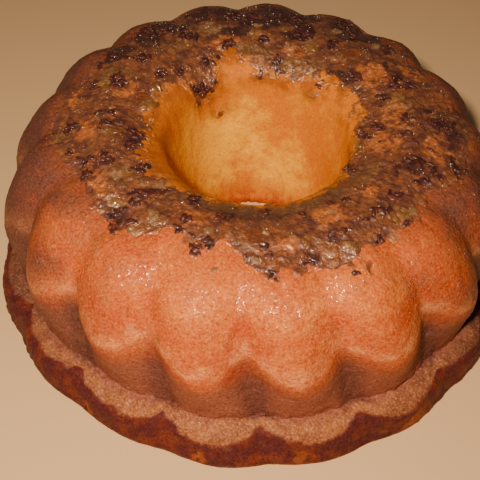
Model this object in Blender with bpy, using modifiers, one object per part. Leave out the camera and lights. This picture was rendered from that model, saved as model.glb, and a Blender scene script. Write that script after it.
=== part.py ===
"""Bundt cake: one ring of cake with slanting flutes, baked in a fluted tube tin and turned out.

Metres, +Z up. The origin is at the centre of the flat base, under the middle of the hole.
The ring starts as a turned profile. Its points are then drawn in along the grooves between
the flutes, turned a little with depth so that the flutes slant, and made uneven as baked.
"""

import math
import random

import bpy

# Driving dimensions
FOOT_RADIUS = 0.125
CAKE_HEIGHT = 0.0855
CREST_RADIUS = 0.0705
HOLE_RADIUS_BASE = 0.0292
HOLE_RADIUS_LIP = 0.0415
LIP_DEPTH = 0.0135

# Flutes
FLUTES = 17
STEPS_PER_FLUTE = 8
FIRST_GROOVE = math.radians(-93.4)
FLUTE_SLANT = math.radians(8.6)
GROOVE_SHARPNESS = 1.9
GROOVE_ROUNDING = 0.16

# Foot: the band of the cake that rose against the plain rim of the tin
EDGE_ROUNDING = 0.0008
FOOT_WAVE_TOP = 0.012
FOOT_WAVE_FULL = 0.002

# Unevenness, as baked
SEED = 11
FLUTE_SWELL = 0.0006
FLUTE_DEPTH_SPREAD = 0.12
WAVES = ((2, 0.0011, 1.45), (3, 0.0007, 3.80), (4, 0.0003, 6.17))
CREST_WAVES = ((1, 0.0005, 3.54), (2, 0.0007, 4.07), (7, 0.0003, 2.60))
FOOT_WAVES = ((3, 0.0010, 0.42),)

CRUST_COLOUR = (0.56, 0.22, 0.075, 1.0)
CRUST_ROUGHNESS = 0.42


def spline(points, steps):
    """A Catmull-Rom curve through the points, with each span cut into steps."""
    ends = [tuple(2 * a - b for a, b in zip(points[0], points[1]))]
    ends += list(points)
    ends += [tuple(2 * a - b for a, b in zip(points[-1], points[-2]))]
    curve = []
    for i in range(1, len(ends) - 2):
        before, start, stop, after = ends[i - 1:i + 3]
        for step in range(steps):
            t = step / steps
            curve.append(tuple(
                0.5 * (2 * b + (c - a) * t + (2 * a - 5 * b + 4 * c - d) * t ** 2
                       + (3 * b - a - 3 * c + d) * t ** 3)
                for a, b, c, d in zip(before, start, stop, after)))
    curve.append(tuple(points[-1]))
    return curve


def foot_profile(waist, terrace, ridge, toe):
    """The ledge under a flute and the foot's outer face, from the waist to the base."""
    base = (toe[0] - EDGE_ROUNDING, 0.0)
    return spline([waist, terrace, ridge, toe], 2)[1:] + [base]


def hole_profile():
    """The tapered wall of the hole and its rounded lip, from the base up to the crest."""
    wall_top = CAKE_HEIGHT - LIP_DEPTH
    rise = [0.0, 0.34, 0.68]
    points = [(HOLE_RADIUS_BASE + (HOLE_RADIUS_LIP - HOLE_RADIUS_BASE) * t, wall_top * t) for t in rise]
    lip_width = CREST_RADIUS - HOLE_RADIUS_LIP
    for step in range(5):
        angle = math.pi / 2 * step / 5
        points.append((CREST_RADIUS - lip_width * math.cos(angle),
                       wall_top + LIP_DEPTH * math.sin(angle)))
    return points


def ring_profile(shoulder, side, brow, wall, waist, terrace, ridge, toe):
    """One closed section of the ring: crest, outer side, foot, base, then up through the hole.

    The brow is where the sloping face of a flute turns over into its upright wall.
    """
    crest = (CREST_RADIUS, CAKE_HEIGHT)
    outer = spline([crest, shoulder, side, brow, wall, waist], 3)
    return outer + foot_profile(waist, terrace, ridge, toe) + hole_profile()


def flute_profile():
    return ring_profile(shoulder=(0.0960, 0.0795), side=(0.1092, 0.0643), brow=(0.1152, 0.0487),
                        wall=(0.1142, 0.0350), waist=(0.1118, 0.0185), terrace=(0.1172, 0.0172),
                        ridge=(0.1222, 0.0125), toe=(0.1250, 0.0030))


def groove_profile():
    return ring_profile(shoulder=(0.0900, 0.0792), side=(0.1000, 0.0695), brow=(0.1052, 0.0570),
                        wall=(0.1074, 0.0400), waist=(0.1095, 0.0185), terrace=(0.1140, 0.0180),
                        ridge=(0.1184, 0.0160), toe=(0.1232, 0.0030))


def turned_ring(name, profile, steps):
    """Turns a closed profile about Z and returns the object with its mesh applied."""
    section = bpy.data.meshes.new(name + "_section")
    edges = [(i, (i + 1) % len(profile)) for i in range(len(profile))]
    section.from_pydata([(radius, 0.0, height) for radius, height in profile], edges, [])
    ring = bpy.data.objects.new(name, section)
    bpy.context.scene.collection.objects.link(ring)
    screw = ring.modifiers.new("turn", "SCREW")
    screw.axis = "Z"
    screw.angle = 2 * math.pi
    screw.steps = steps
    screw.render_steps = steps
    screw.use_merge_vertices = True
    screw.merge_threshold = 0.00001
    graph = bpy.context.evaluated_depsgraph_get()
    mesh = bpy.data.meshes.new_from_object(ring.evaluated_get(graph))
    ring.modifiers.clear()
    ring.data = mesh
    bpy.data.meshes.remove(section)
    return ring


def wave(angle, terms):
    return sum(size * math.sin(count * angle + phase) for count, size, phase in terms)


def flute_place(angle):
    """Which flute an angle falls in, and how far across it: -1 and 1 are its grooves, 0 its middle."""
    turns = ((angle - FIRST_GROOVE) / (2 * math.pi) * FLUTES) % FLUTES
    return int(turns) % FLUTES, 2 * (turns % 1.0) - 1


def groove_share(across):
    """How far the surface is drawn in: 0 in the middle of a flute, 1 in the rounded groove."""
    far = math.hypot(1 - abs(across), GROOVE_ROUNDING) - GROOVE_ROUNDING
    far /= math.hypot(1, GROOVE_ROUNDING) - GROOVE_ROUNDING
    return abs(1 - far) ** GROOVE_SHARPNESS


def foot_share(height):
    """How much of the foot's own unevenness there is: 1 at the toe, 0 above the ledge."""
    t = min(max((FOOT_WAVE_TOP - height) / (FOOT_WAVE_TOP - FOOT_WAVE_FULL), 0.0), 1.0)
    return t * t * (3 - 2 * t)


def shape_flutes(ring, flute, groove):
    """Draws the turned ring in along its grooves, slants the flutes and makes them uneven."""
    chance = random.Random(SEED)
    swell = [chance.uniform(-FLUTE_SWELL, FLUTE_SWELL) for _ in range(FLUTES)]
    depth = [1 + chance.uniform(-FLUTE_DEPTH_SPREAD, FLUTE_DEPTH_SPREAD) for _ in range(FLUTES)]
    for vertex in ring.data.vertices:
        station = vertex.index % len(flute)
        angle = math.atan2(vertex.co.y, vertex.co.x)
        number, across = flute_place(angle)
        drawn_in = groove_share(across)
        neighbour = (number + (1 if across > 0 else -1)) % FLUTES
        share = 0.5 * abs(across)
        drawn_in *= depth[number] * (1 - share) + depth[neighbour] * share
        radius = flute[station][0] + (groove[station][0] - flute[station][0]) * drawn_in
        height = flute[station][1] + (groove[station][1] - flute[station][1]) * drawn_in
        outward = min(max((radius - CREST_RADIUS) / (FOOT_RADIUS - CREST_RADIUS), 0.0), 1.0)
        rise = height / CAKE_HEIGHT
        radius += outward * (wave(angle, WAVES) + swell[number] * (1 - across ** 2)
                             + foot_share(height) * wave(angle, FOOT_WAVES))
        height += rise ** 2 * wave(angle, CREST_WAVES)
        if radius > CREST_RADIUS:
            angle += FLUTE_SLANT * (1 - rise)
        vertex.co = (radius * math.cos(angle), radius * math.sin(angle), height)


def centre_on_base(ring):
    """Moves the mesh so that the middle of its box lies on the Z axis."""
    for axis in (0, 1):
        values = [vertex.co[axis] for vertex in ring.data.vertices]
        middle = (min(values) + max(values)) / 2
        for vertex in ring.data.vertices:
            vertex.co[axis] -= middle


def crust():
    material = bpy.data.materials.new("crust")
    material.use_nodes = True
    shader = material.node_tree.nodes["Principled BSDF"]
    shader.inputs["Base Color"].default_value = CRUST_COLOUR
    shader.inputs["Roughness"].default_value = CRUST_ROUGHNESS
    shader.inputs["Metallic"].default_value = 0.0
    return material


for old in list(bpy.context.scene.objects):
    bpy.data.objects.remove(old, do_unlink=True)

flute = flute_profile()
cake = turned_ring("cake", flute, FLUTES * STEPS_PER_FLUTE)
shape_flutes(cake, flute, groove_profile())
centre_on_base(cake)
cake.data.shade_smooth()
cake.data.set_sharp_from_angle(angle=math.radians(50))
cake.data.materials.append(crust())

parts = bpy.data.collections.new("bundt cake")
bpy.context.scene.collection.children.link(parts)
bpy.context.scene.collection.objects.unlink(cake)
parts.objects.link(cake)
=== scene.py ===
"""Looks of a bundt cake with chopped nuts and fruit baked into its crest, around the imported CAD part.

Metres, +Z up. The cake's flat base lies on z = 0 and its hole is round the Z axis. -Y is the side
that faces the viewer.
"""

import math
import random

import bpy
import numpy as np
from mathutils import Matrix, Vector, noise
from mathutils.kdtree import KDTree


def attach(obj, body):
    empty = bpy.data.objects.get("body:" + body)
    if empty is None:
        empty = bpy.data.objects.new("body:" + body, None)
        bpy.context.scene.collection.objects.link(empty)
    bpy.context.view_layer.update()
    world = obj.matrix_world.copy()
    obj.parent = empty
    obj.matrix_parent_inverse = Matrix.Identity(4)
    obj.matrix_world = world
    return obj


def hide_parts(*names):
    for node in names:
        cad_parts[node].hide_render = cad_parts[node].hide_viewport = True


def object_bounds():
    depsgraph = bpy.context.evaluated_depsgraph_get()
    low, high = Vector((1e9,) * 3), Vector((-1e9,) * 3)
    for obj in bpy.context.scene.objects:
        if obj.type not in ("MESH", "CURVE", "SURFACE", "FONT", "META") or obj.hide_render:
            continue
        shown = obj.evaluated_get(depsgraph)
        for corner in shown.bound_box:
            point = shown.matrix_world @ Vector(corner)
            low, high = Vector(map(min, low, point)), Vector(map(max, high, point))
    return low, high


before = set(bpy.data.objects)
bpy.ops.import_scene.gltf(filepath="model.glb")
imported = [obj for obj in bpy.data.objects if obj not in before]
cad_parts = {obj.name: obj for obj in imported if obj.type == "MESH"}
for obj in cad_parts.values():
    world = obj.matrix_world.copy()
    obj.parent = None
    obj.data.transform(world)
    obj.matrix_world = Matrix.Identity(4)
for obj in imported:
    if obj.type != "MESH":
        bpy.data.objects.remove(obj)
cad_low, cad_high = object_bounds()

# ---------------------------------------------------------------------------------------------
# The cake. One ring of light crumb inside a browned crust, baked in a fluted tube tin and turned
# out. Its section is spun round the hole, then drawn in along the grooves between the flutes,
# and the foot is the band that rose against the tin's plain rim.

FLUTES = 17
FIRST_GROOVE = math.radians(-93.4)
FLUTE_SLANT = math.radians(8.6)
GROOVE_SHARPNESS = 1.9
GROOVE_ROUNDING = 0.16
CREST_RADIUS = 0.0705
CAKE_HEIGHT = 0.0855
FOOT_RADIUS = 0.125
HOLE_RADIUS_BASE = 0.0292
HOLE_RADIUS_LIP = 0.0415
LIP_DEPTH = 0.0135
CAKE_COLUMNS = 816

# Radius and height in the middle of a flute, then in a groove, and rows up to the next line.
SIDE = (
    (0.0705, 0.0855, 0.0705, 0.0855, 6),    # crest
    (0.0960, 0.0795, 0.0900, 0.0792, 18),   # shoulder
    (0.1092, 0.0643, 0.1000, 0.0695, 18),   # side
    (0.1152, 0.0487, 0.1052, 0.0570, 12),   # brow, where the face turns over into the wall
    (0.1142, 0.0350, 0.1074, 0.0400, 14),   # wall
    (0.1118, 0.0185, 0.1095, 0.0185, 0),    # waist
)
FOOT = (
    (0.1118, 0.0185, 0.1095, 0.0185, 8),
    (0.1172, 0.0172, 0.1140, 0.0180, 9),    # terrace
    (0.1222, 0.0125, 0.1184, 0.0160, 8),    # ridge
    (0.1250, 0.0030, 0.1232, 0.0030, 0),    # toe
)


def smooth_line(knots):
    """A smooth line of rows through the knots, with the count of rows each knot asks for."""
    values = np.array([knot[:4] for knot in knots])
    values = np.vstack([2 * values[0] - values[1], values, 2 * values[-1] - values[-2]])
    rows = []
    for index, knot in enumerate(knots[:-1]):
        a, b, c, d = values[index:index + 4]
        for step in range(knot[4]):
            t = step / knot[4]
            rows.append(0.5 * (2 * b + (c - a) * t + (2 * a - 5 * b + 4 * c - d) * t ** 2
                               + (3 * b - a - 3 * c + d) * t ** 3))
    return rows + [values[-2]]


def hole_line(wall_rows, lip_rows):
    """The hole's tapered wall and rounded lip, from the base up to the crest."""
    wall_top = CAKE_HEIGHT - LIP_DEPTH
    rows = []
    for row in range(wall_rows):
        t = row / wall_rows
        rows.append((HOLE_RADIUS_BASE + (HOLE_RADIUS_LIP - HOLE_RADIUS_BASE) * t, wall_top * t) * 2)
    for row in range(lip_rows):
        turn = math.pi / 2 * row / lip_rows
        rows.append((CREST_RADIUS - (CREST_RADIUS - HOLE_RADIUS_LIP) * math.cos(turn),
                     wall_top + LIP_DEPTH * math.sin(turn)) * 2)
    return [np.array(row) for row in rows]


def turned(name, line, columns, closed):
    """Turns a line of (radius, height) about Z. Returns the ring and its vertices' rows and columns."""
    bpy.ops.object.select_all(action="DESELECT")
    bpy.ops.mesh.primitive_circle_add(vertices=len(line), radius=0.1)
    ring = bpy.context.object
    ring.name = ring.data.name = name
    place(ring, np.array([(radius, 0.0, height) for radius, height in line]))
    rows = ring.data.attributes.new("row", "INT", "POINT")
    rows.data.foreach_set("value", np.arange(len(line), dtype=np.int32))
    if not closed:
        for vertex in ring.data.vertices:
            vertex.select = False
        for edge in ring.data.edges:
            edge.select = set(edge.vertices) == {0, len(line) - 1}
        bpy.ops.object.mode_set(mode="EDIT")
        bpy.ops.mesh.select_mode(type="EDGE")
        bpy.ops.mesh.delete(type="EDGE")
        bpy.ops.object.mode_set(mode="OBJECT")
    turn = ring.modifiers.new("turn", "SCREW")
    turn.axis = "Z"
    turn.steps = turn.render_steps = columns
    turn.use_merge_vertices = True
    turn.merge_threshold = 0.00001
    bpy.ops.object.modifier_apply(modifier="turn")
    bpy.ops.object.mode_set(mode="EDIT")
    bpy.ops.mesh.select_all(action="SELECT")
    bpy.ops.mesh.normals_make_consistent(inside=False)
    bpy.ops.object.mode_set(mode="OBJECT")
    bpy.ops.object.shade_smooth()
    row = np.zeros(len(ring.data.vertices), np.int32)
    ring.data.attributes["row"].data.foreach_get("value", row)
    ring.data.attributes.remove(ring.data.attributes["row"])
    spots = points_of(ring)
    column = np.round(np.arctan2(spots[:, 1], spots[:, 0]) / (2 * np.pi) * columns).astype(int)
    return ring, row, column % columns


def points_of(piece):
    spots = np.zeros(len(piece.data.vertices) * 3)
    piece.data.vertices.foreach_get("co", spots)
    return spots.reshape(-1, 3)


def place(piece, spots):
    piece.data.vertices.foreach_set("co", spots.astype(np.float32).ravel())
    piece.data.update()


def paint(piece, name, values):
    """Keeps a value from 0 to 1 at each vertex for the piece's material."""
    made = piece.data.attributes.new(name, "FLOAT", "POINT")
    made.data.foreach_set("value", np.clip(values, 0, 1).astype(np.float32))


def wave(angle, terms):
    return sum(size * np.sin(count * angle + phase) for count, size, phase in terms)


def step(value, low, high):
    """Rises smoothly from 0 at low to 1 at high."""
    t = np.clip((value - low) / (high - low), 0, 1)
    return t * t * (3 - 2 * t)


def uneven(spots, size, detail=2, seed=0):
    """Random heights, about -1 to 1, in lumps of the given size."""
    away = Vector((7.3 * seed, 3.1 * seed, 5.7 * seed))
    return np.array([noise.fractal(Vector(spot) / size + away, 1.0, 2.0, detail) for spot in spots])


chance = random.Random(11)
flute_swell = np.array([chance.uniform(-0.0006, 0.0006) for _ in range(FLUTES)])
flute_depth = np.array([1 + chance.uniform(-0.12, 0.12) for _ in range(FLUTES)])


def fluted(rows, angle):
    """The cake's smooth surface at the section rows and angles, and how far across its flute."""
    turns = ((angle - FIRST_GROOVE) / (2 * np.pi) * FLUTES) % FLUTES
    number = turns.astype(int) % FLUTES
    across = 2 * (turns % 1.0) - 1
    neighbour = (number + np.where(across > 0, 1, -1)) % FLUTES
    share = 0.5 * np.abs(across)
    depth = flute_depth[number] * (1 - share) + flute_depth[neighbour] * share
    from_groove = np.hypot(1 - np.abs(across), GROOVE_ROUNDING) - GROOVE_ROUNDING
    from_groove /= math.hypot(1, GROOVE_ROUNDING) - GROOVE_ROUNDING
    drawn_in = np.abs(1 - from_groove) ** GROOVE_SHARPNESS * depth
    radius = rows[:, 0] + (rows[:, 2] - rows[:, 0]) * drawn_in
    height = rows[:, 1] + (rows[:, 3] - rows[:, 1]) * drawn_in
    outward = np.clip((radius - CREST_RADIUS) / (FOOT_RADIUS - CREST_RADIUS), 0, 1)
    rise = height / CAKE_HEIGHT
    radius = radius + outward * (wave(angle, ((2, 0.0011, 1.45), (3, 0.0007, 3.80), (4, 0.0003, 6.17)))
                                 + flute_swell[number] * (1 - across ** 2)
                                 + step(height, 0.012, 0.002) * wave(angle, ((3, 0.0010, 0.42),)))
    height = height + rise ** 2 * wave(angle, ((1, 0.0005, 3.54), (2, 0.0007, 4.07), (7, 0.0003, 2.60)))
    angle = angle + np.where(radius > CREST_RADIUS, FLUTE_SLANT * (1 - rise), 0.0)
    return np.stack([radius * np.cos(angle), radius * np.sin(angle), height], axis=1), across


side_rows = smooth_line(SIDE)
foot_rows = smooth_line(FOOT)[1:]
toe = foot_rows[-1]
edge_row = np.array([toe[0] - 0.0008, 0.0, toe[2] - 0.0008, 0.0])
cake_rows = np.array(side_rows + foot_rows + [0.5 * (toe + edge_row), edge_row] + hole_line(16, 8))
cake, cake_row, cake_column = turned("bundt_cake", cake_rows[:, :2], CAKE_COLUMNS, closed=True)
cake_angle = cake_column / CAKE_COLUMNS * 2 * np.pi
spots, across = fluted(cake_rows[cake_row], cake_angle)
middle = 0.5 * (spots.max(axis=0) + spots.min(axis=0)) * (1, 1, 0)


def normals_of(piece):
    normals = np.zeros(len(piece.data.vertices) * 3)
    piece.data.vertex_normals.foreach_get("vector", normals)
    return normals.reshape(-1, 3)


# Where the nuts and fruit ended up in the baked crest: degrees round the hole, radius, half length,
# half width (millimetres), and the turn of the long way from straight round the ring.
NUT_CLUSTERS = (
    (-177, 84.3, 5.3, 3.5, 155), (-177, 63.7, 6.5, 2, 84), (-173, 55.8, 2.7, 1.9, 68),
    (-170, 90.5, 2.3, 0.9, 168), (-168, 53, 4.8, 3.1, 38), (-165, 81.2, 1.8, 1.1, 177),
    (-163, 57.8, 3.3, 1.7, 14), (-160, 78.7, 2.9, 2.3, 151), (-160, 75.1, 1.5, 1.2, 154),
    (-156, 69.7, 3.7, 3, 107), (-154, 79.2, 4.3, 2.1, 9), (-148, 55.9, 4.7, 2.5, 101),
    (-136, 82.5, 2.1, 1.3, 142), (-134, 60.8, 11.5, 2, 122), (-133, 70.8, 3, 1.9, 149),
    (-131, 84.3, 2.2, 1.4, 159), (-129, 76.9, 2, 1.4, 33), (-118, 51.9, 4.2, 2.7, 78),
    (-115, 64.4, 3.4, 2.4, 59), (-114, 71.1, 2.4, 1.3, 160), (-110, 71.3, 1.6, 1.1, 165),
    (-106, 76.7, 3.5, 3.1, 174), (-103, 72.8, 3.1, 3.1, 27), (-101, 57.1, 4.4, 2.7, 156),
    (-92, 79.3, 3.2, 0.8, 86), (-87, 71.1, 1.9, 1.3, 179), (-85, 50.2, 2.6, 2.4, 102),
    (-85, 74.6, 1.9, 1.5, 180), (-84, 83.9, 3, 2.6, 100), (-74, 81.8, 3.9, 2.5, 5),
    (-70, 56, 2.4, 1.7, 27), (-65, 71.7, 3.6, 2, 118), (-64, 87.8, 1.3, 1.1, 132),
    (-60, 71.4, 2.4, 1.4, 19), (-56, 55.2, 2.1, 1.6, 124), (-53, 82, 2, 1.5, 158),
    (-50, 72, 2.6, 1.4, 25), (-49, 57.6, 2, 1.4, 46), (-44, 71.7, 4.7, 2.2, 32),
    (-42, 80.5, 1.7, 1.4, 17), (-38, 83.6, 2.3, 1.6, 21), (-36, 70.2, 3.6, 1.8, 51),
    (-28, 45.2, 5.6, 1.8, 140), (-24, 76.4, 3.4, 2.5, 1), (-22, 65.1, 2.2, 2, 17),
    (-20, 80.6, 2.4, 1.7, 4), (-18, 77.7, 3.6, 2.1, 178), (-17, 70.4, 5.4, 3, 72),
    (-14, 86.6, 6.6, 2.2, 177), (-3, 64.3, 2, 1.7, 12), (-1, 46.8, 4.7, 1.6, 130),
    (3, 81.5, 5.8, 3.3, 65), (3, 53.6, 4.5, 2.4, 123), (5, 78.8, 6.1, 2, 77), (6, 66.7, 3.5, 1.7, 96),
    (10, 77.9, 2.7, 1.6, 45), (21, 60.9, 2.7, 2.1, 128),
    (24, 74.3, 4, 2.7, 71), (25, 68.3, 2.8, 2.6, 83), (29, 73.2, 4.7, 3, 76), (37, 73.9, 3.5, 1.5, 48),
    (39, 56.8, 4.2, 3.6, 146), (43, 82.1, 5.7, 2.4, 54), (50, 44.6, 3.5, 1.9, 156),
    (57, 83.9, 3.3, 1.5, 72), (59, 66.5, 4.3, 2.9, 62), (62, 88.4, 9, 4, 86), (71, 43.0, 2.2, 1.5, 89),
    (73, 72.2, 9, 5.7, 91), (78, 44.0, 3.5, 2.4, 86), (80, 82.2, 8.8, 4.8, 127),
    (80, 48.2, 2.9, 2.6, 168), (89, 59.4, 2.9, 2.4, 169), (91, 42.4, 4.3, 2.4, 178),
    (97, 80.1, 8.3, 6.8, 29), (106, 56.6, 4.2, 3.8, 109), (115, 49.2, 2.9, 2.4, 6),
    (119, 42.6, 1.9, 1.5, 114), (119, 39, 3.1, 2.4, 124), (121, 68.6, 6.3, 2.9, 25),
    (122, 50.6, 2.5, 2.1, 1), (123, 80.4, 7.2, 6.2, 93), (130, 84.6, 6.9, 5.1, 82),
    (131, 42, 7.6, 2.9, 26), (135, 40.8, 2, 1, 146), (137, 51.1, 3.8, 1.9, 133),
    (144, 68.8, 5.1, 2.8, 46), (146, 55.6, 3.7, 2.8, 149), (148, 78.7, 4.4, 3.2, 96),
    (154, 83.3, 3.7, 1.9, 139), (160, 70.2, 6.2, 3.8, 113), (163, 80.1, 3.7, 1.4, 148),
    (178, 68.4, 6.1, 1.7, 80),
)
FRUIT_BITS = (
    (-171, 65.2, 3.9, 3.3, 91), (-137, 74.5, 3.4, 2.3, 145), (-73, 70.7, 3.2, 1.9, 108),
    (-62, 77.5, 3.2, 2.6, 7), (-40, 78, 4.4, 3.2, 165), (-8, 44.1, 5.6, 2.8, 142),
    (19, 67.2, 4, 3.6, 36), (67, 61.9, 5, 3.8, 71), (74, 47.6, 3.1, 2.9, 68), (81, 67.6, 2.9, 2, 84),
    (93, 64.5, 2.9, 2.2, 175), (157, 51.3, 5, 2.8, 155), (161, 75.7, 5.7, 3.6, 133),
    (167, 51.1, 4.6, 3.1, 38),
)
PALE_BITS = (
    (-162, 89.1, 2.1, 1.3, 0), (-151, 62.2, 2.5, 1.8, 111), (-148, 67.7, 2.9, 2.9, 16),
    (-140, 76.6, 3, 1.7, 28), (-139, 59.8, 2.2, 1.9, 83), (-139, 82.2, 2, 1.3, 135),
    (-135, 55.9, 3.4, 2, 116), (-126, 79.2, 3.3, 2.3, 157), (-125, 69.9, 4, 2.4, 48),
    (-105, 66.8, 2.3, 2.2, 154), (-100, 82.9, 1.9, 1.7, 170), (-98, 67.9, 1.9, 1.6, 162),
    (-89, 78.1, 2.1, 1.9, 81), (-87, 85.6, 3.7, 1.5, 91), (-85, 64.7, 1.6, 1.1, 1),
    (-83, 87.3, 1.7, 1.5, 101), (-77, 67.5, 1.9, 1.3, 11), (-69, 79, 2.7, 2.5, 11),
    (-65, 86.4, 2.1, 1.9, 129), (-59, 60.4, 2, 1.4, 36), (-48, 84, 3.7, 3, 19),
    (-36, 79.1, 3.3, 2, 161), (-21, 86.4, 3.6, 2, 51), (-20, 93.6, 2.2, 1.4, 35),
    (13, 69.4, 2.2, 2, 89), (14, 62.3, 2.7, 2.2, 23),
    (18, 91, 3.7, 1.5, 31), (47, 80.6, 3, 2.1, 90), (52, 41.7, 3.4, 1.9, 150), (62, 78.6, 4, 2.7, 113),
    (67, 47.8, 1.9, 1.6, 168), (76, 57.4, 2.4, 2.4, 112), (92, 69, 2.5, 1.8, 173),
    (101, 55.4, 2.4, 2.4, 138), (111, 71.4, 6.9, 5.4, 71), (167, 66.7, 1.8, 1, 70),
    (174, 65.3, 1.8, 1.3, 76),
)
SYRUP_POOLS = (
    (-111, 63, 6.3, 1.7, 156), (-89, 65.8, 4.7, 4.3, 166), (-81, 79.5, 3.9, 3.7, 133),
    (-60, 88.1, 4.1, 2.7, 130), (51, 68.6, 5.7, 5, 135), (108, 79.7, 3.3, 2.5, 96),
    (165, 56.3, 5, 4, 174),
)

# Broad areas of the baked sugar: amber where it stayed clear, dark where it burnt and as painted shade
# on the far shoulder at the back, olive with fruit.
AMBER_AREAS = (
    (-158, 47, 15, 6, 0), (-115, 62, 8, 5, 20), (-80, 71, 7, 5, 0), (-60, 61, 9, 6, 0),
    (-8, 56, 8, 9, 0), (-8, 78, 7, 7, 0), (10, 62, 8, 6, 30), (35, 63, 9, 9, 0), (30, 82, 9, 5, 0),
    (74, 56, 7, 4, 0), (108, 59, 9, 5, 0), (105, 47, 12, 3, 0), (162, 62, 8, 5, 60), (150, 46, 14, 4, 0),
    (-173, 76, 7, 6, 0), (171, 84, 6, 3, 0), (-150, 76, 7, 5, 0), (-38, 62, 6, 4, 0),
)
BURNT_AND_SHADED_AREAS = (
    (58, 86, 16, 13, 0), (82, 84, 18, 14, 0), (106, 86, 18, 12, 0), (130, 84, 18, 13, 0),
    (-18, 70, 6, 5, 0), (-168, 54, 8, 4, 0), (-2, 85, 7, 5, 0), (148, 82, 8, 6, 0), (76, 66, 9, 4, 0), (100, 65, 9, 4, 0),
    (-95, 54, 22, 3, 0), (90, 72, 14, 7, 0), (-134, 80, 5, 6, 0), (45, 50, 8, 6, 0),
)
OLIVE_AREAS = (
    (112, 70, 9, 6, 60), (62, 50, 14, 7, 0), (92, 52, 10, 8, 0), (128, 66, 8, 7, 0), (14, 64, 9, 7, 0),
    (-27, 55, 9, 5, 0), (-148, 67, 6, 7, 0), (20, 46, 10, 5, 0), (158, 72, 7, 9, 0), (-172, 84, 8, 7, 0),
)

# Where the topping starts on the hole's side and how far out it reaches: degrees round the hole, radius.
TOPPING_START = (
    (-180, 46), (-173, 46), (-159, 50), (-147, 51), (-135, 50), (-122, 46), (-90, 43), (-64, 43.5),
    (-40, 43), (-20, 42), (0, 42), (7, 43), (14, 45), (26, 46.5), (40, 47), (52, 46), (60, 44), (68, 42), (80, 42), (92, 43),
    (99, 46.4), (105, 50), (113, 46.4), (120, 41), (135, 40), (145, 46), (150, 48), (174, 46.4), (180, 46),
)
TOPPING_EDGE = (
    (-180, 93), (-172, 93), (-165, 86), (-156, 84), (-148, 82), (-140, 85), (-133, 86), (-127, 82),
    (-121, 75), (-115, 74), (-108, 80), (-103, 78), (-99, 71), (-95, 74), (-91, 82), (-86, 86), (-80, 83),
    (-74, 86), (-65, 88), (-58, 84), (-50, 86), (-42, 83), (-35, 84), (-27, 82), (-20, 90), (-13, 94),
    (-5, 95), (5, 96), (16, 92), (37, 90), (46, 92), (54, 94), (67, 95), (85, 96), (100, 95), (115, 94),
    (125, 92), (139, 90), (157, 88), (168, 91), (180, 93),
)
LOOSE_CHUNKS = 2600

# The line across the crest, from inside the hole to the outer shoulder, as radius and length along it.
crest_line = np.array(hole_line(80, 60)[62:] + smooth_line(SIDE))
crest_steps = np.hypot(np.diff(crest_line[:, 0]), np.diff(crest_line[:, 1]))
crest_length = np.concatenate([[0.0], np.cumsum(crest_steps)])
crest_radius = np.maximum.accumulate(0.5 * (crest_line[:, 0] + crest_line[:, 2]))


def on_crest(radius):
    """How far along the crest line a radius lies."""
    return np.interp(radius, crest_radius, crest_length)


def in_patches(angle, along, patches):
    """How deep in the nearest patch each place lies: 1 in its middle, 0 at its edge, below 0 outside."""
    deepest = np.full(len(angle), -9.0)
    for degrees, middle_radius, half_length, half_width, turn in patches:
        radius = middle_radius / 1000
        u = ((angle - math.radians(degrees) + math.pi) % (2 * math.pi) - math.pi) * radius
        v = along - on_crest(radius)
        cos, sin = math.cos(math.radians(turn)), math.sin(math.radians(turn))
        far = np.hypot((u * cos + v * sin) / half_length, (v * cos - u * sin) / half_width) * 1000
        deepest = np.maximum(deepest, 1 - far)
    return deepest


def crest_place(angle, along):
    """The smooth surface of the crest at an angle and a length along the crest line."""
    rows = np.array([np.interp(along, crest_length, crest_line[:, part]) for part in range(4)]).T
    return fluted(rows, angle)[0]


# The topping's lumps are a loose mosaic: each lump has a place on the crest, a height and a shade.
chance = np.random.default_rng(5)
chunk_angle = chance.uniform(-math.pi, math.pi, LOOSE_CHUNKS)
chunk_along = on_crest(np.sqrt(chance.uniform(0.0387 ** 2, 0.099 ** 2, LOOSE_CHUNKS)))
chunk_rise = chance.normal(0, 1, LOOSE_CHUNKS)
chunk_tree = KDTree(LOOSE_CHUNKS)
for number, spot in enumerate(crest_place(chunk_angle, chunk_along)):
    chunk_tree.insert(spot, number)
chunk_tree.balance()


def topping_at(spots, angle, along):
    """The lump at each place, how near its rim the place is, and how far inside the topping."""
    sway = np.stack([uneven(spots, 0.0035, 2, seed) for seed in (31, 32, 33)], axis=1) * 0.0012
    nearest = [chunk_tree.find_n(spot, 2) for spot in spots + sway]
    chunk = np.array([found[0][1] for found in nearest])
    rim = np.array([found[1][2] - found[0][2] for found in nearest])
    start = np.interp(np.degrees(angle), *np.array(TOPPING_START).T) / 1000
    reach = np.interp(np.degrees(angle), *np.array(TOPPING_EDGE).T) / 1000
    wander = uneven(spots, 0.0055, 4, 34)
    inside = np.minimum(on_crest(reach) - along, along - on_crest(start))
    inside += 0.0026 * wander + 0.0008 * chunk_rise[chunk]
    known = in_patches(angle, along, NUT_CLUSTERS + FRUIT_BITS + PALE_BITS + SYRUP_POOLS)
    inside = np.maximum(inside, 0.004 * known + 0.0012 * wander)
    return chunk, rim, inside


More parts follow.
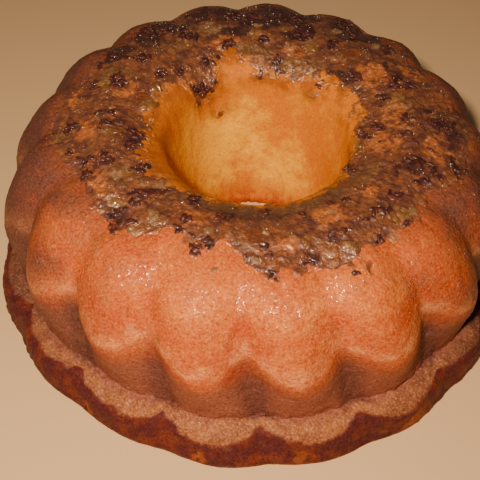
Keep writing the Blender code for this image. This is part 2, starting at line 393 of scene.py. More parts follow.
spots -= middle
place(cake, spots)
side_count = len(side_rows)
foot_count = len(foot_rows)
rise_row = sum(knot[4] for knot in SIDE[:2])
brow_row = sum(knot[4] for knot in SIDE[:3])
on_side = cake_row < side_count
hole_start = side_count + foot_count + 1
hole_way = np.where(cake_row > hole_start, (cake_row - hole_start) / 16, 0)
radius = np.hypot(spots[:, 0] + middle[0], spots[:, 1] + middle[1])
along = on_crest(radius)
angle = (cake_angle + np.pi) % (2 * np.pi) - np.pi
crest = np.flatnonzero((spots[:, 2] > 0.055) & (radius < 0.103) & (radius > 0.0385))
_, _, inside = topping_at(spots[crest] + middle, angle[crest], along[crest])
under_topping = np.zeros(len(spots))
near_lip = step(radius[crest], 0.060, 0.052)
under_topping[crest] = step(inside, 0.0008 + 0.004 * near_lip, 0.0030 + 0.006 * near_lip)
stained = np.zeros(len(spots))
stained[crest] = step(inside, -0.010, 0.0)

foot_way = np.where(cake_row >= side_count - 1, (cake_row - side_count + 1) / foot_count, 0.0)
foot_way = np.where(cake_row > side_count + foot_count, 0.0, foot_way)
ridge_way = sum(knot[4] for knot in FOOT[:2]) / sum(knot[4] for knot in FOOT)
lumps = crust_lumps = uneven(spots, 0.016, 2, 3)
dents = uneven(spots, 0.0045, 3, 4)
crumbs = uneven(spots, 0.0020, 2, 5)
relief = 0.00055 * lumps + 0.00022 * dents + 0.00012 * crumbs - 0.0014 * under_topping
on_foot = step(foot_way, 0.03, 0.2)
relief += on_foot * (0.00040 * dents + 0.00020 * crumbs)
at_waist = np.exp(-((cake_row - side_count + 1) / 4.0) ** 2)
relief += at_waist * (0.0007 * dents + 0.0004 * crumbs + 0.0008 * np.abs(lumps))
groove = np.abs(across) ** 2.2
ripples = np.sin(spots[:, 2] / 0.0034 * 2 * np.pi + 1.5 * dents) * step(groove, 0.3, 0.9)
relief += 0.00038 * ripples * step(cake_row, brow_row + 2, brow_row + 8) * on_side
nicks = step(dents + 0.5 * lumps, 0.25, 0.8)
relief -= step(foot_way, 0.86, 0.99) * (0.0002 + 0.0010 * nicks)
at_hole_base = step(hole_way, 0.30, 0.0) * (cake_row > hole_start - 2) * step(radius, 0.04, 0.03)
relief += at_hole_base * 0.0009 * (dents + crumbs)
new_spots = spots + normals_of(cake) * relief[:, None]
new_spots[spots[:, 2] < 0.0004, 2] = 0.0
new_spots = np.clip(new_spots, np.array(cad_low), np.array(cad_high))
place(cake, new_spots)

# Where the foot's thin edge stayed orange: degrees round the cake, and how wide.
WARM_TOE = ((-107, 2.5), (-87, 3), (-61, 9), (-132, 3), (-12, 5), (20, 6), (75, 5), (120, 7), (165, 5))

# Where the crust browned, with painted shade where the sides and back turn from the light:
# more on the sides and back than in front, and most near the topping.
turn_away = np.abs((np.degrees(cake_angle) + 86 + 180) % 360 - 180)
# Still more painted shade on the right-hand side.
right_shade = 10 * step(np.degrees(angle), -62, -40) * step(np.degrees(angle), 60, 20)
browned_and_shaded = step(turn_away + right_shade + 14 * lumps, 15, 98) * (radius > 0.06)
paint(cake, "browned_and_shaded", browned_and_shaded)
# The wall under the brow is painted darker: painted shade on the down-turned wall.
paint(cake, "wall", np.where(on_side, step(cake_row + 2.5 * lumps, brow_row - 3, brow_row + 12), foot_way > 0))
# A pale band along the brow, where the face turns over: a painted highlight on the edge.
rim_row = brow_row - 3 + 2 * groove
rim_width = np.where(cake_row < rim_row, 7.5, 3.0)
paint(cake, "brow_highlight", np.exp(-((cake_row - rim_row + 2 * dents) / rim_width) ** 2) * on_side)
paint(cake, "groove", groove * (cake_row < hole_start))
paint(cake, "foot", foot_way + 0.12 * dents + 0.06 * lumps)
toe_way = foot_way + 0.11 * lumps + 0.10 * dents + 0.24 * np.abs(across) ** 5 + 0.18 * step(turn_away, 25, 60)
paint(cake, "toe", step(toe_way, ridge_way - 0.14, ridge_way + 0.06))
toe_warm = 0.35 * lumps + 0.25 * dents
low = step(spots[:, 2], 0.0125, 0.0085)
for degrees, width in WARM_TOE:
    far = (np.degrees(cake_angle) - degrees + 180) % 360 - 180
    toe_warm += np.exp(-((far + 3 * dents) / width) ** 2) * low
paint(cake, "toe_warm", step(toe_warm, 0.25, 1.1) * on_foot)
paint(cake, "hole", step(radius, 0.0680, 0.0560))
paint(cake, "hole_rise", np.clip(spots[:, 2] / 0.08, 0, 1))
gold_far = np.hypot((np.degrees(angle) - 132) / 42, (spots[:, 2] - 0.038) / 0.026)
gold_low = np.hypot((np.degrees(angle) - 62) / 30, (spots[:, 2] - 0.022) / 0.017)
paint(cake, "hole_gold", np.exp(-gold_far ** 2) + 0.8 * np.exp(-gold_low ** 2) + 0.35 * lumps + 0.15 * dents)
# One side of the hole's wall is painted darker: painted shade.
paint(cake, "hole_shade", 0.5 + 0.5 * np.cos(angle - math.radians(195)))
# The upper faces, most in front, are painted lighter: a painted sheen where the light falls. The same share sets
# where the crust glints.
paint(cake, "upper", np.exp(-((cake_row - 11) / 9.0) ** 2) * on_side * (0.25 + 0.75 * step(turn_away, 45, 14)))
# The terrace is browned and in painted shade away from the front.
terrace_turn = np.abs((np.degrees(cake_angle) + 102 + 180) % 360 - 180)
paint(cake, "terrace_browned_and_shaded", step(terrace_turn + 10 * lumps, 26, 72))
# The syrup stain round the topping is stronger where the crust is browned and in painted shade.
paint(cake, "stained", stained * np.where(radius < 0.055, 0.8, 0.12 + 0.40 * np.clip(browned_and_shaded, 0, 1)))


def add(tree, kind, values=None, **settings):
    """Adds a node to a material or group, with values or links for its inputs."""
    made = tree.nodes.new("ShaderNode" + kind)
    for name, setting in settings.items():
        setattr(made, name, setting)
    for socket, value in (values or {}).items():
        if isinstance(value, bpy.types.NodeSocket):
            tree.links.new(value, made.inputs[socket])
        else:
            made.inputs[socket].default_value = value
    return made


def mixed(tree, share, first, second, blend="MIX"):
    """The first colour mixed with the second by a share from 0 to 1."""
    values = {0: share}
    for socket, colour in ((6, first), (7, second)):
        values[socket] = (*colour, 1.0) if isinstance(colour, tuple) else colour
    return add(tree, "Mix", values, data_type="RGBA", blend_type=blend).outputs[2]


def spread(tree, value, low, high, to_low=0.0, to_high=1.0):
    """The value between low and high, spread smoothly over another range."""
    values = {"Value": value, "From Min": low, "From Max": high, "To Min": to_low, "To Max": to_high}
    return add(tree, "MapRange", values, interpolation_type="SMOOTHSTEP").outputs[0]


def maths(tree, first, second, operation="MULTIPLY"):
    return add(tree, "Math", {0: first, 1: second}, operation=operation).outputs[0]


def noise_at(tree, where, size, detail=2.0, rough=0.5):
    """Noise from 0 to 1, in lumps of the given size in metres."""
    values = {"Vector": where, "Scale": 1 / size, "Detail": detail, "Roughness": rough}
    return add(tree, "TexNoise", values).outputs["Fac"]


def painted(tree, name):
    return add(tree, "Attribute", attribute_name=name).outputs["Fac"]


def ragged(tree, name, noise, size):
    """A painted share with its edge broken up by noise."""
    return maths(tree, painted(tree, name), maths(tree, maths(tree, noise, 0.5, "SUBTRACT"), size), "ADD")


def new_material(name):
    material = bpy.data.materials.new(name)
    material.use_nodes = True
    return material, material.node_tree, material.node_tree.nodes["Principled BSDF"]


# Baked grain: the fine crumb and pores of a crust. Light and dark grains, and their relief.
baked_grain = bpy.data.node_groups.new("baked grain", "ShaderNodeTree")
for name, kind in (("Where", "NodeSocketVector"), ("Size", "NodeSocketFloat"), ("Relief", "NodeSocketFloat")):
    baked_grain.interface.new_socket(name=name, in_out="INPUT", socket_type=kind)
for name, kind in (("Light", "NodeSocketFloat"), ("Dark", "NodeSocketFloat"), ("Normal", "NodeSocketVector")):
    baked_grain.interface.new_socket(name=name, in_out="OUTPUT", socket_type=kind)
given = baked_grain.nodes.new("NodeGroupInput")
result = baked_grain.nodes.new("NodeGroupOutput")
scale = maths(baked_grain, 1.0, given.outputs["Size"], "DIVIDE")
coarse = add(baked_grain, "TexNoise", {"Vector": given.outputs["Where"], "Scale": scale, "Detail": 3.0,
                                       "Roughness": 0.65}).outputs["Fac"]
pits = add(baked_grain, "TexVoronoi", {"Vector": given.outputs["Where"], "Scale": scale},
           feature="SMOOTH_F1").outputs["Distance"]
height = maths(baked_grain, coarse, maths(baked_grain, pits, 0.35), "ADD")
baked_grain.links.new(spread(baked_grain, coarse, 0.52, 0.66), result.inputs["Light"])
baked_grain.links.new(spread(baked_grain, coarse, 0.47, 0.34), result.inputs["Dark"])
baked_grain.links.new(add(baked_grain, "Bump", {"Height": height, "Distance": given.outputs["Relief"],
                                                "Strength": 1.0}).outputs[0], result.inputs["Normal"])


def grained(tree, where, size, relief):
    values = {"Where": where, "Size": size, "Relief": relief}
    made = tree.nodes.new("ShaderNodeGroup")
    made.node_tree = baked_grain
    for name, value in values.items():
        if isinstance(value, bpy.types.NodeSocket):
            tree.links.new(value, made.inputs[name])
        else:
            made.inputs[name].default_value = value
    return made.outputs["Light"], made.outputs["Dark"], made.outputs["Normal"]


FACE = (0.48, 0.090, 0.017)
FACE_RED = (0.39, 0.053, 0.011)
FACE_TAN = (0.58, 0.155, 0.026)
# A lighter face colour for the upper faces: a painted sheen.
FACE_SHEEN = (0.76, 0.24, 0.044)
# Browned crust, which also serves as painted shade on the sides and back.
BROWNED_AND_SHADED = (0.102, 0.041, 0.032)
# The wall in painted shade, and darker painted shade in its grooves.
WALL_SHADED = (0.255, 0.086, 0.052)
WALL_GROOVE_SHADED = (0.116, 0.044, 0.036)
# A pale colour for the brow: a painted highlight.
BROW_HIGHLIGHT = (0.74, 0.29, 0.105)
TERRACE = (0.26, 0.088, 0.037)
TERRACE_LIGHT = (0.43, 0.160, 0.058)
MAROON = (0.078, 0.0145, 0.0165)
TOE_RED = (0.150, 0.028, 0.014)
TOE_ORANGE = (0.25, 0.060, 0.014)
HOLE_GOLD = (0.98, 0.50, 0.014)
HOLE_ORANGE = (0.64, 0.185, 0.008)
HOLE_RED = (0.46, 0.080, 0.010)
# A darker brown for one side of the hole: painted shade.
HOLE_SHADE_BROWN = (0.32, 0.075, 0.012)
STAIN = (0.26, 0.062, 0.012)

crust, tree, shader = new_material("crust")
where = add(tree, "TexCoord").outputs["Object"]
broad = noise_at(tree, where, 0.030, 3.0, 0.55)
patchy = noise_at(tree, where, 0.008, 4.0, 0.65)
fine = noise_at(tree, where, 0.0024, 3.0, 0.65)
grain_relief = spread(tree, painted(tree, "hole"), 0.2, 1.0, 0.00042, 0.00016)
light_grain_and_glint, dark_grain, grain_normal = grained(tree, where, 0.00105, grain_relief)
colour = mixed(tree, maths(tree, spread(tree, broad, 0.42, 0.62), 0.8), FACE, FACE_RED)
colour = mixed(tree, maths(tree, spread(tree, patchy, 0.48, 0.64), 0.55), colour, FACE_TAN)
colour = mixed(tree, maths(tree, spread(tree, fine, 0.52, 0.66), 0.45), colour, FACE_RED)
# Painted sheen on the upper faces in front.
upper_sheen_share = maths(tree, painted(tree, "upper"), spread(tree, fine, 0.36, 0.62, 0.25, 0.65))
colour = mixed(tree, upper_sheen_share, colour, FACE_SHEEN)
# Browned crust and painted shade on the sides and back.
browned_and_shaded_share = ragged(tree, "browned_and_shaded", patchy, 0.7)
colour = mixed(tree, maths(tree, spread(tree, browned_and_shaded_share, 0.05, 0.95), 0.95), colour, BROWNED_AND_SHADED)
# The painted highlight along the brow, weaker on the sides and back.
brow_highlight_share = maths(tree, painted(tree, "brow_highlight"), spread(tree, patchy, 0.32, 0.60, 0.12, 0.62))
colour = mixed(tree, maths(tree, brow_highlight_share, spread(tree, painted(tree, "browned_and_shaded"), 0, 1, 1.0, 0.35)), colour, BROW_HIGHLIGHT)
# Painted shade on the wall, darkest in the grooves.
wall_colour = mixed(tree, spread(tree, ragged(tree, "groove", patchy, 0.5), 0.1, 0.75), WALL_SHADED, WALL_GROOVE_SHADED)
# The wall too is browned and in painted shade on the sides and back.
wall_colour = mixed(tree, maths(tree, painted(tree, "browned_and_shaded"), 0.8), wall_colour, BROWNED_AND_SHADED)
colour = mixed(tree, maths(tree, painted(tree, "wall"), 0.92), colour, wall_colour)
terrace = mixed(tree, maths(tree, spread(tree, patchy, 0.42, 0.64), 0.5), TERRACE, TERRACE_LIGHT)
# Browned terrace and painted shade away from the front.
terrace = mixed(tree, maths(tree, painted(tree, "terrace_browned_and_shaded"), 0.8), terrace, BROWNED_AND_SHADED)
# Light grains on the terrace, pale crumb that also serves as painted glitter.
terrace = mixed(tree, maths(tree, light_grain_and_glint, spread(tree, painted(tree, "terrace_browned_and_shaded"), 0.0, 1.0, 0.45, 0.15)),
                terrace, TERRACE_LIGHT)
colour = mixed(tree, spread(tree, ragged(tree, "foot", fine, 0.25), 0.02, 0.26), colour, terrace)
toe_colour = mixed(tree, spread(tree, patchy, 0.40, 0.66), MAROON, TOE_RED)
toe_colour = mixed(tree, spread(tree, ragged(tree, "toe_warm", patchy, 0.7), 0.25, 1.10), toe_colour, TOE_ORANGE)
colour = mixed(tree, spread(tree, ragged(tree, "toe", patchy, 0.8), 0.12, 1.0), colour, toe_colour)
gold = mixed(tree, spread(tree, ragged(tree, "hole_gold", patchy, 1.9), 0.0, 1.0), HOLE_ORANGE, HOLE_GOLD)
gold = mixed(tree, maths(tree, spread(tree, fine, 0.52, 0.66), 0.35), gold, HOLE_ORANGE)
low_down = maths(tree, spread(tree, painted(tree, "hole_rise"), 0.24, 0.04), spread(tree, patchy, 0.38, 0.58))
gold = mixed(tree, low_down, gold, HOLE_RED)
gold = mixed(tree, maths(tree, spread(tree, painted(tree, "hole_rise"), 0.80, 0.98), 0.85), gold, HOLE_ORANGE)
# Painted shade on one side of the hole.
gold = mixed(tree, maths(tree, spread(tree, painted(tree, "hole_shade"), 0.5, 1.0), 0.45), gold, HOLE_SHADE_BROWN)
colour = mixed(tree, painted(tree, "hole"), colour, gold)
stain_share = maths(tree, painted(tree, "stained"), spread(tree, patchy, 0.38, 0.58, 0.1, 1.0))
colour = mixed(tree, stain_share, colour, STAIN)
grain_share = spread(tree, painted(tree, "hole"), 0.2, 1.0, 0.80, 0.32)
# Dark pores, and light grains brightened as pale crumb and as painted glints.
colour = mixed(tree, maths(tree, dark_grain, grain_share), colour, (0.60, 0.45, 0.36), "MULTIPLY")
colour = mixed(tree, maths(tree, light_grain_and_glint, grain_share), colour, (1.45, 1.70, 1.90), "MULTIPLY")
tree.links.new(colour, shader.inputs["Base Color"])
tree.links.new(spread(tree, fine, 0.3, 0.7, 0.42, 0.62), shader.inputs["Roughness"])
shader.inputs["Specular IOR Level"].default_value = 0.11
oily = noise_at(tree, where, 0.0019, 2.0, 0.6)
glints = maths(tree, spread(tree, oily, 0.50, 0.60), spread(tree, painted(tree, "upper"), 0.0, 0.6, 0.10, 1.0))
tree.links.new(glints, shader.inputs["Coat Weight"])
shader.inputs["Coat Roughness"].default_value = 0.10
rough_normal = add(tree, "Bump", {"Height": fine, "Distance": 0.0009, "Strength": 0.35,
                                  "Normal": grain_normal}).outputs[0]
tree.links.new(rough_normal, shader.inputs["Normal"])
tree.links.new(add(tree, "Bump", {"Height": oily, "Distance": 0.0008, "Strength": 1.0}).outputs[0],
               shader.inputs["Coat Normal"])
cake.data.materials.clear()
cake.data.materials.append(crust)
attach(cake, "root")
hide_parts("cake")

# ---------------------------------------------------------------------------------------------
# The baked-in topping. Chopped nuts and fruit lay with sugar in the bottom of the tin, so they
# are set in a glossy caramelised skin that is part of the crest. The skin is lumpy over them,
# and dips under the crust beyond the topping's ragged edge.

TOPPING_ROWS = 119

line_length = np.linspace(0.0, on_crest(0.0985), TOPPING_ROWS)
topping_rows = np.array([np.interp(line_length, crest_length, crest_line[:, part]) for part in range(4)]).T
topping, topping_row, topping_column = turned("baked_topping", topping_rows[:, :2], CAKE_COLUMNS, closed=False)
angle = topping_column / CAKE_COLUMNS * 2 * np.pi
angle = (angle + np.pi) % (2 * np.pi) - np.pi
along = line_length[topping_row]
spots = fluted(topping_rows[topping_row], angle)[0]
place(topping, spots - middle)
if normals_of(topping)[:, 2].mean() < 0:
    bpy.ops.object.mode_set(mode="EDIT")
    bpy.ops.mesh.select_all(action="SELECT")
    bpy.ops.mesh.flip_normals()
    bpy.ops.object.mode_set(mode="OBJECT")
topping_normals = normals_of(topping)
chunk, rim, inside = topping_at(spots, angle, along)
lumpy = uneven(spots, 0.0032, 3, 41)
crumbs = uneven(spots, 0.0015, 2, 7)
swell = uneven(spots, 0.0085, 2, 6)
loose = uneven(spots, 0.0060, 2, 42) + 0.5 * lumpy
nutty = in_patches(angle, along, NUT_CLUSTERS) + 0.30 * lumpy + 0.22 * crumbs
nutty = np.maximum(step(nutty, -0.12, 0.28), 0.6 * step(loose, 0.66, 0.90))
fruity = step(in_patches(angle, along, FRUIT_BITS) + 0.15 * lumpy, -0.10, 0.35)
pale = step(in_patches(angle, along, PALE_BITS) + 0.28 * lumpy, -0.20, 0.45)
pool = step(in_patches(angle, along, SYRUP_POOLS) + 0.20 * lumpy, -0.10, 0.35)
dome = step(rim, 0.0, 0.0016)
inner = step(along, on_crest(0.060), on_crest(0.050))
height = -0.0004 + 0.00055 * swell + 0.00042 * lumpy + 0.00020 * crumbs
height += (1 - pool) * (0.00020 * chunk_rise[chunk] * dome - 0.00028 * (1 - dome))
height += nutty * (0.00020 + 0.00035 * crumbs) + 0.00030 * fruity + 0.00015 * pale - 0.00020 * pool
height = np.maximum(height, -0.0011) * step(inside, 0.0, 0.0030) - 0.0018 * step(inside, 0.0012, -0.0012)
height += 0.0005 * inner * step(inside, 0.012, 0.004) * step(inside, -0.0005, 0.0015)
height += 0.00055 * uneven(spots - middle, 0.016, 2, 3)
topping_place = spots - middle + topping_normals * height[:, None]
topping_place = np.clip(topping_place, np.array(cad_low), np.array(cad_high))
place(topping, topping_place)
# Browned and in painted shade on the sides and back, as on the crust.
topping_turn = np.abs((np.degrees(angle) + 86 + 180) % 360 - 180)
topping_browned_and_shaded = step(topping_turn + 14 * swell, 15, 98)
# The crest's inner slope in front is painted grey-brown: painted shade where it turns from the light.
front_lip_shade = step(np.sin(angle), -0.1, -0.8) * step(along, on_crest(0.060), on_crest(0.050))
for name, values in (
        ("nut", nutty), ("fruit", fruity), ("pale", pale), ("pool", pool), ("front_lip_shade", front_lip_shade),
        # The gaps between lumps are painted dark: painted shade in the crevices.
        ("gap_shade", step(rim, 0.0012, 0.0)), ("inside", inside / (0.016 + 0.010 * inner) + 0.5), ("browned_and_shaded", topping_browned_and_shaded),
        ("amber", step(in_patches(angle, along, AMBER_AREAS) + 0.5 * swell + 0.3 * lumpy, -0.55, 0.60)),
        ("burnt_and_shaded", step(in_patches(angle, along, BURNT_AND_SHADED_AREAS) + 0.5 * swell + 0.3 * lumpy, -0.60, 0.55)),
        ("olive", step(in_patches(angle, along, OLIVE_AREAS) + 0.5 * swell - 0.3 * lumpy, -0.60, 0.60)),
        ("inner", inner)):
    paint(topping, name, values)

BROWN = (0.138, 0.045, 0.021)
AMBER = (0.245, 0.077, 0.023)
ORANGE = (0.43, 0.122, 0.026)
OLIVE_TAN = (0.205, 0.086, 0.027)
# Burnt sugar, also used as painted shade on the far shoulder and in the gaps between lumps.
BURNT_AND_SHADE = (0.046, 0.0135, 0.0095)
NUT_DARK = (0.032, 0.0074, 0.0085)
NUT_BROWN = (0.085, 0.019, 0.013)
STAINED = (0.085, 0.027, 0.020)
FRUIT_OLIVE = (0.235, 0.112, 0.032)
PALE_FLESH = (0.29, 0.155, 0.064)
POOL_BROWN = (0.17, 0.042, 0.010)
# The grey-brown below is painted shade on the crest's inner slope in front.
LIP_SHADE_GREY = (0.115, 0.056, 0.026)

sticky, tree, shader = new_material("baked_topping")
where = add(tree, "TexCoord").outputs["Object"]
broad = noise_at(tree, where, 0.0100, 3.0, 0.6)
middling = noise_at(tree, where, 0.0045, 4.0, 0.65)
small = noise_at(tree, where, 0.0022, 3.0, 0.6)
light_grain_and_glint, dark_grain, grain_normal = grained(tree, where, 0.0013, 0.00050)
colour = mixed(tree, spread(tree, middling, 0.40, 0.62), BROWN, AMBER)
colour = mixed(tree, maths(tree, spread(tree, broad, 0.50, 0.62), 0.4), colour, OLIVE_TAN)
stains = noise_at(tree, where, 0.0062, 4.0, 0.68)
colour = mixed(tree, spread(tree, ragged(tree, "olive", middling, 2.6), 0.35, 1.0), colour, OLIVE_TAN)
colour = mixed(tree, spread(tree, ragged(tree, "amber", middling, 2.6), 0.35, 1.05), colour, ORANGE)
# Burnt sugar, and painted shade on the far shoulder at the back.
colour = mixed(tree, spread(tree, ragged(tree, "burnt_and_shaded", middling, 2.6), 0.30, 1.0), colour, BURNT_AND_SHADE)
colour = mixed(tree, maths(tree, spread(tree, stains, 0.50, 0.62), 0.80), colour, STAINED)
# Painted shade on the inner slope at the front.
colour = mixed(tree, maths(tree, painted(tree, "front_lip_shade"), 0.7), colour, LIP_SHADE_GREY)
nut_colour = mixed(tree, spread(tree, small, 0.40, 0.66), NUT_DARK, NUT_BROWN)
for name, tint, strength in (("pool", POOL_BROWN, 0.7), ("fruit", FRUIT_OLIVE, 0.75),
                             ("pale", PALE_FLESH, 0.65), ("nut", nut_colour, 0.92)):
    share = spread(tree, ragged(tree, name, small, 1.6), 0.30, 0.80)
    colour = mixed(tree, maths(tree, share, strength), colour, tint)
specks = spread(tree, noise_at(tree, where, 0.0016, 3.0, 0.7), 0.60, 0.70)
colour = mixed(tree, maths(tree, specks, 0.35), colour, NUT_DARK)
# Painted shade in the gaps between lumps.
colour = mixed(tree, maths(tree, painted(tree, "gap_shade"), 0.25), colour, BURNT_AND_SHADE)
# At its edge the topping takes the crust's colour, browned and in painted shade on the sides and back.
edge_colour = mixed(tree, painted(tree, "browned_and_shaded"), (0.50, 0.105, 0.018), BROWNED_AND_SHADED)
edge_colour = mixed(tree, painted(tree, "inner"), edge_colour, (0.50, 0.150, 0.010))
edge_share = ragged(tree, "inside", middling, 0.7)
colour = mixed(tree, spread(tree, edge_share, 0.72, 0.46), colour, edge_colour)
# Light grains brightened as pale crumb and as painted glints.
colour = mixed(tree, maths(tree, light_grain_and_glint, 0.5), colour, (1.5, 1.55, 1.7), "MULTIPLY")
colour = mixed(tree, maths(tree, dark_grain, 0.4), colour, (0.5, 0.42, 0.40), "MULTIPLY")
tree.links.new(colour, shader.inputs["Base Color"])
tree.links.new(spread(tree, small, 0.3, 0.7, 0.26, 0.50), shader.inputs["Roughness"])
shader.inputs["Coat Weight"].default_value = 0.75
shader.inputs["Coat Roughness"].default_value = 0.09
rough_normal = add(tree, "Bump", {"Height": small, "Distance": 0.0008, "Strength": 0.5,
                                  "Normal": grain_normal}).outputs[0]
tree.links.new(rough_normal, shader.inputs["Normal"])
tree.links.new(rough_normal, shader.inputs["Coat Normal"])
topping.data.materials.clear()
topping.data.materials.append(sticky)
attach(topping, "root")

# ---------------------------------------------------------------------------------------------
# The chopped nuts and fruit that stand out of the sugar: dark nut chips in their clusters, pale
# softened flesh, amber fruit, and pale sugar grains that did not melt, also strewn as painted glints.
# Each kind is one mesh.

topping_grid = np.zeros((TOPPING_ROWS, CAKE_COLUMNS), int)
topping_grid[topping_row, topping_column] = np.arange(len(spots))


def chip_shapes(count, faces, rough, seed):
    """A few chopped shapes round the origin, about 1 in radius, to be copied. Gives points and faces."""
    shapes = []
    for number in range(count):
        bpy.ops.object.select_all(action="DESELECT")
        bpy.ops.mesh.primitive_ico_sphere_add(subdivisions=faces, radius=1.0)
        chip = bpy.context.object
        points = points_of(chip)
        size = 1 + rough * uneven(points, 0.9, 2, seed + number)
        chip.data.calc_loop_triangles()
        shapes.append((points * size[:, None], [tuple(face.vertices) for face in chip.data.polygons]))
        bpy.data.objects.remove(chip)
    return shapes


def scattered(name, shapes, places, normals, sizes, sink, chance):
    """One mesh of many chips lying at places. Sizes are half axes, sink is the share below."""
    points, faces, tones = [], [], []
    for place, normal, size in zip(places, normals, sizes):
        shape, shape_faces = shapes[int(chance.integers(len(shapes)))]
        turn = Vector(normal).to_track_quat("Z", "Y").to_matrix() @ Matrix.Rotation(chance.uniform(0, 6.283), 3, "Z")
        turn = turn @ Matrix.Rotation(chance.normal(0, 0.25), 3, "X")
        start = sum(len(part) for part in points)
        laid = (shape * size) @ np.array(turn).T + place + normal * size[2] * (1 - 2 * sink)
        points.append(laid)
        faces.extend(tuple(corner + start for corner in face) for face in shape_faces)
        tones.append(np.full(len(shape), chance.uniform(0, 1)))
    mesh = bpy.data.meshes.new(name)
    mesh.from_pydata(np.clip(np.concatenate(points), cad_low, cad_high).tolist(), [], faces)
    piece = bpy.data.objects.new(name, mesh)
    bpy.context.collection.objects.link(piece)
    paint(piece, "tone", np.concatenate(tones))
    for polygon in mesh.polygons:
        polygon.use_smooth = True
    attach(piece, "root")
    return piece


def spots_in(patches, per_area, least, chance, keep=0.0005):
    """Topping points spread through patches, with so many per square millimetre."""
    found = []
    for degrees, middle_radius, half_length, half_width, turn in patches:
        for _ in range(max(least, int(round(half_length * half_width * math.pi * per_area)))):
            way, far = chance.uniform(0, 2 * math.pi), math.sqrt(chance.uniform(0, 1.0))
            u, v = far * math.cos(way) * half_length, far * math.sin(way) * half_width
            cos, sin = math.cos(math.radians(turn)), math.sin(math.radians(turn))
            at = math.radians(degrees) + (u * cos - v * sin) / middle_radius
            length = on_crest(middle_radius / 1000) + (u * sin + v * cos) / 1000
            row = int(np.clip(round(length / line_length[-1] * (TOPPING_ROWS - 1)), 0, TOPPING_ROWS - 1))
            spot = topping_grid[row, int(round(at / (2 * math.pi) * CAKE_COLUMNS)) % CAKE_COLUMNS]
            if inside[spot] > keep:
                found.append(spot)
    return found


chance = np.random.default_rng(17)
nut_places = [spot for spot in spots_in(NUT_CLUSTERS, 0.13, 2, chance)
              if inside[spot] > 0.0012 + 0.002 * inner[spot]]
nut_places += list(chance.choice(np.flatnonzero((inside > 0.001) & (nutty > 0.5)), 160, replace=False))
nut_sizes = [np.array([chance.uniform(0.9, 2.3), chance.uniform(0.6, 1.3), chance.uniform(0.25, 0.5)]) / 1000
             for _ in nut_places]
nuts = scattered("nut_chips", chip_shapes(6, 2, 0.50, 50), topping_place[nut_places], topping_normals[nut_places],
                 nut_sizes, 0.50, chance)
pale_places = spots_in(PALE_BITS, 0.07, 1, chance, 0.0025)
pale_sizes = [np.array([chance.uniform(0.5, 1.5), chance.uniform(0.4, 0.9), chance.uniform(0.25, 0.5)]) / 1000
              for _ in pale_places]
pale_bits = scattered("pale_bits", chip_shapes(5, 2, 0.65, 60), topping_place[pale_places],
                      topping_normals[pale_places], pale_sizes, 0.66, chance)
fruit_places = spots_in(FRUIT_BITS, 0.045, 1, chance)
fruit_sizes = [np.array([chance.uniform(2.0, 3.2), chance.uniform(1.5, 2.4), chance.uniform(0.8, 1.2)]) / 1000
               for _ in fruit_places]
fruit = scattered("fruit_bits", chip_shapes(4, 3, 0.40, 70), topping_place[fruit_places],
                  topping_normals[fruit_places], fruit_sizes, 0.74, chance)
# Pale sugar grains, strewn as grains of sugar and as painted glints.
sugar_glint_share = np.where(inside > 0.0005, step(swell + 0.5 * lumpy, -0.3, 0.7) + 0.08, 0) * (1 - front_lip_shade)
sugar_glint_places = list(chance.choice(len(spots), 1300, replace=False, p=sugar_glint_share / sugar_glint_share.sum()))
sugar_glint_sizes = [np.full(3, 0.09 + 0.05 * chance.gamma(1.4)) / 1000 for _ in sugar_glint_places]
# More such grains on the upper faces in front, as painted glints.
face_glint_share = np.exp(-((cake_row - 17) / 9.0) ** 2) * step(turn_away, 70, 30) * on_side * (1 - under_topping)
face_glint_share *= step(dents + 0.6 * crust_lumps, -0.2, 0.6) + 0.08
face_glint_places = list(chance.choice(len(new_spots), 900, replace=False, p=face_glint_share / face_glint_share.sum()))
sugar_glint_sizes += [np.full(3, 0.07 + 0.03 * chance.gamma(1.4)) / 1000 for _ in face_glint_places]
sugar_glints = scattered("sugar_glint_grains", chip_shapes(3, 1, 0.15, 80),
                  np.concatenate([topping_place[sugar_glint_places], new_spots[face_glint_places]]),
                  np.concatenate([topping_normals[sugar_glint_places], normals_of(cake)[face_glint_places]]),
                  sugar_glint_sizes, 0.25, chance)

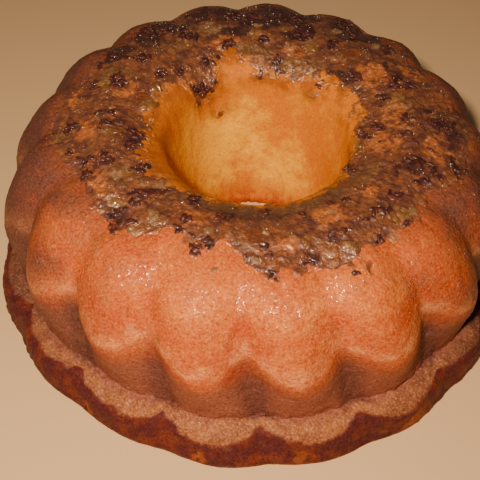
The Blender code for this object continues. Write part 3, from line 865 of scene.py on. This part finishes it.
for piece, name, dark, light, roughness, coat in (
        (nuts, "nut_chips", NUT_DARK, (0.12, 0.030, 0.018), 0.38, 0.5),
        (pale_bits, "pale_bits", (0.15, 0.066, 0.022), (0.34, 0.20, 0.095), 0.30, 0.6),
        (fruit, "fruit_bits", (0.14, 0.052, 0.014), (0.22, 0.100, 0.028), 0.24, 0.8),
        (sugar_glints, "sugar_glint_grains", (0.30, 0.17, 0.09), (0.80, 0.63, 0.46), 0.16, 0.8)):
    bits, tree, shader = new_material(name)
    where = add(tree, "TexCoord").outputs["Object"]
    small = noise_at(tree, where, 0.0009, 3.0, 0.65)
    colour = mixed(tree, ragged(tree, "tone", small, 0.9), dark, light)
    tree.links.new(colour, shader.inputs["Base Color"])
    shader.inputs["Roughness"].default_value = roughness
    shader.inputs["Coat Weight"].default_value = coat
    shader.inputs["Coat Roughness"].default_value = 0.12
    tree.links.new(add(tree, "Bump", {"Height": small, "Distance": 0.0004, "Strength": 0.6}).outputs[0],
                   shader.inputs["Normal"])
    piece.data.materials.append(bits)

# ---------------------------------------------------------------------------------------------
# The stage: a plain pale floor, soft light all round, a key light beside the camera, and the camera.

bpy.ops.object.select_all(action="DESELECT")
bpy.ops.mesh.primitive_plane_add(size=4)
floor = bpy.context.object
floor.name = "floor"
pale_floor, tree, shader = new_material("pale_floor")
shader.inputs["Base Color"].default_value = (0.70, 0.46, 0.24, 1.0)
shader.inputs["Roughness"].default_value = 0.6
floor.data.materials.append(pale_floor)

world = bpy.data.worlds.new("soft light")
world.use_nodes = True
world.node_tree.nodes["Background"].inputs["Color"].default_value = (1.0, 0.84, 0.70, 1.0)
world.node_tree.nodes["Background"].inputs["Strength"].default_value = 0.08
bpy.context.scene.world = world


def aimed_light(name, spot, target, size, power, colour):
    bpy.ops.object.light_add(type="AREA", location=spot)
    light = bpy.context.object
    light.name = name
    light.data.shape = "DISK"
    light.data.size = size
    light.data.energy = power
    light.data.color = colour
    light.rotation_euler = (Vector(target) - Vector(spot)).to_track_quat("-Z", "Y").to_euler()


aimed_light("key", (-0.06, -0.31, 0.42), (0, 0, 0.05), 0.035, 4.0, (1.0, 0.80, 0.60))

PITCH, YAW, ROLL = 0.877, -0.024, 0.025
forward = Vector((math.sin(YAW) * math.cos(PITCH), math.cos(YAW) * math.cos(PITCH), -math.sin(PITCH)))
right = forward.cross(Vector((0, 0, 1))).normalized()
up = right.cross(forward)
right, up = (math.cos(ROLL) * right + math.sin(ROLL) * up, math.cos(ROLL) * up - math.sin(ROLL) * right)
bpy.ops.object.camera_add(location=(0.00043, -0.27857, 0.33833))
camera = bpy.context.object
camera.rotation_euler = Matrix((right, up, -forward)).transposed().to_euler()
camera.data.sensor_width = 36.0
camera.data.lens = 63.62
camera.data.clip_start = 0.01
bpy.context.scene.camera = camera
